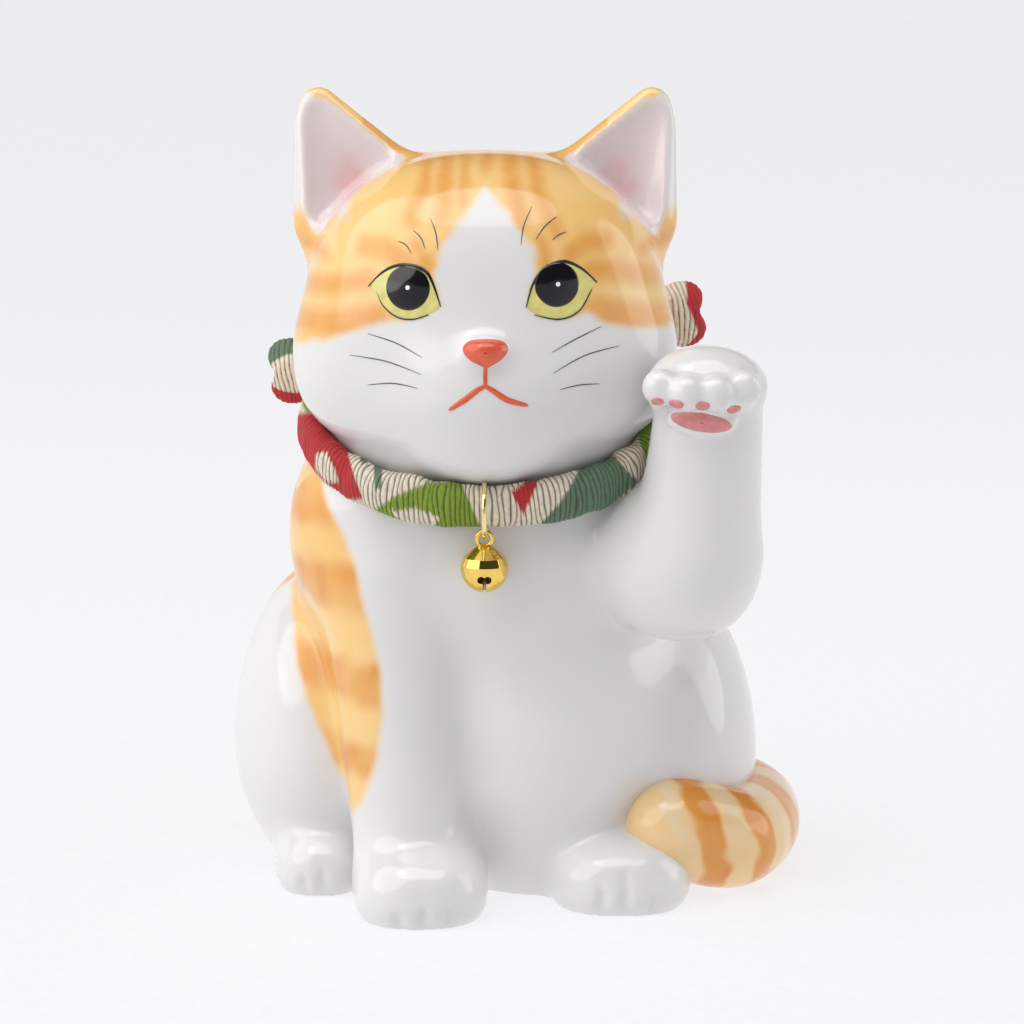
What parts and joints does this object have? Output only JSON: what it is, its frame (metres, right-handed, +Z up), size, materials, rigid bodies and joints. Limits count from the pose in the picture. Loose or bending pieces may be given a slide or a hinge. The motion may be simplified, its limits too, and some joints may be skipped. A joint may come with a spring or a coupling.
{
  "type": "beckoning cat figurine",
  "caption": "Seated porcelain cat with one forepaw raised, hollow cast, wearing a padded cloth collar with a bow behind and a small jingle bell on a ring.",
  "frame": {"origin": "on the resting plane, under the middle of the neck's width", "axes": "+Z up, the cat faces -Y, +X is the cat's left side"},
  "size_m": [0.1495, 0.1159, 0.2],
  "materials": {
    "glazed_porcelain": "clear glaze over painted enamel",
    "crepe_cloth": "patterned crepe weave",
    "cotton_wadding": "loose cotton",
    "gilt_brass": "polished gilt",
    "steel_pellet": "dull"
  },
  "bodies": {
    "cat": {"body_casting": "glazed_porcelain", "head_casting": "glazed_porcelain", "raised_foreleg_casting": "glazed_porcelain", "tail_casting": "glazed_porcelain", "collar_band": "crepe_cloth", "collar_core": "cotton_wadding", "bow_knot": "crepe_cloth", "bow_loop_left": "crepe_cloth", "bow_loop_right": "crepe_cloth", "bow_tail_left": "crepe_cloth", "bow_tail_right": "crepe_cloth"},
    "ring": {"bell_ring": "gilt_brass"},
    "bell": {"bell_eye": "gilt_brass", "bell_upper_shell": "gilt_brass", "bell_lower_shell": "gilt_brass"},
    "pellet": {"bell_pellet": "steel_pellet"}
  },
  "joints": [
    {"name": "ring_swing", "type": "hinge", "parent": "cat", "child": "ring", "pos_m": [0, -0.04528, 0.10157], "axis": [-1, 0, 0], "range_deg": [0, 50]},
    {"name": "bell_sway", "type": "hinge", "parent": "ring", "child": "bell", "pos_m": [0, -0.04528, 0.09525], "axis": [0, 1, 0], "range_deg": [-40, 40]},
    {"name": "pellet_roll", "type": "hinge", "parent": "bell", "child": "pellet", "pos_m": [0, -0.04528, 0.08738], "axis": [0, 1, 0], "range_deg": [-60, 60]}
  ]
}
